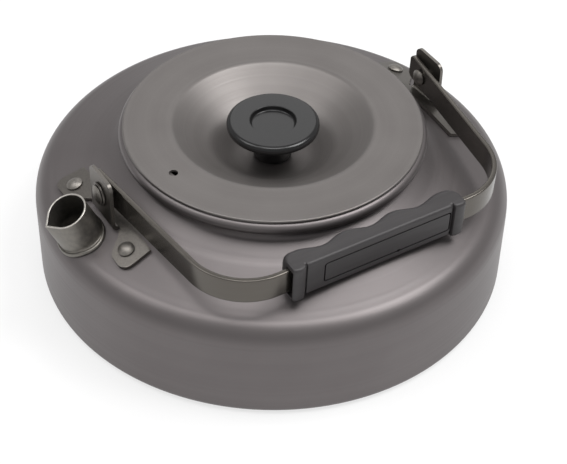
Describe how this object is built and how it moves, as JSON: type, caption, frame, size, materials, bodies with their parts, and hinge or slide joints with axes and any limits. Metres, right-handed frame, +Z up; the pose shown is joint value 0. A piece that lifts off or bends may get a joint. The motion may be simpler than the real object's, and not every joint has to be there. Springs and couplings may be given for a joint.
{
  "type": "camping kettle",
  "caption": "Low wide camping kettle with a folding bail handle, a short pouring spout and a lift-off dished lid with a knob.",
  "frame": {"origin": "centre of the flat base", "axes": "+Z up out of the base along the axis of the body; the spout points to -X; the bail's hinge axis runs along X; the folded bail lies towards -Y"},
  "size_m": [0.1634, 0.16, 0.0583],
  "materials": {
    "body_aluminium": "hard-anodised, satin",
    "spout_aluminium": "hard-anodised, satin",
    "lid_aluminium": "hard-anodised, satin",
    "ring_aluminium": "hard-anodised, satin",
    "bracket_steel": "satin",
    "bail_steel": "satin",
    "rivet_aluminium": "semi-bright",
    "washer_steel": "satin",
    "screw_steel": "bright",
    "insert_brass": "turned",
    "grip_plastic": "fine texture",
    "knob_plastic": "semi-gloss"
  },
  "bodies": {
    "kettle": {"kettle_body": "body_aluminium", "spout": "spout_aluminium", "bracket_spout_side": "bracket_steel", "bracket_back_side": "bracket_steel", "rivet_spout_side_front": "rivet_aluminium", "rivet_spout_side_rear": "rivet_aluminium", "rivet_back_side_front": "rivet_aluminium", "rivet_back_side_rear": "rivet_aluminium", "pivot_rivet_spout_side": "rivet_aluminium", "pivot_washer_spout_side": "washer_steel", "pivot_rivet_back_side": "rivet_aluminium", "pivot_washer_back_side": "washer_steel"},
    "bail": {"bail_strip": "bail_steel", "grip": "grip_plastic"},
    "lid": {"lid_pan": "lid_aluminium", "lid_ring": "ring_aluminium", "knob": "knob_plastic", "knob_insert": "insert_brass", "knob_washer": "screw_steel", "knob_screw": "screw_steel"}
  },
  "joints": [
    {"name": "bail_hinge", "type": "hinge", "parent": "kettle", "child": "bail", "pos_m": [0, 0, 0.05068], "axis": [-1, 0, 0], "range_deg": [0, 184.76]},
    {"name": "lid_lift", "type": "slide", "parent": "kettle", "child": "lid", "axis": [0, 0, 1], "range_m": [0, 0.04]}
  ]
}
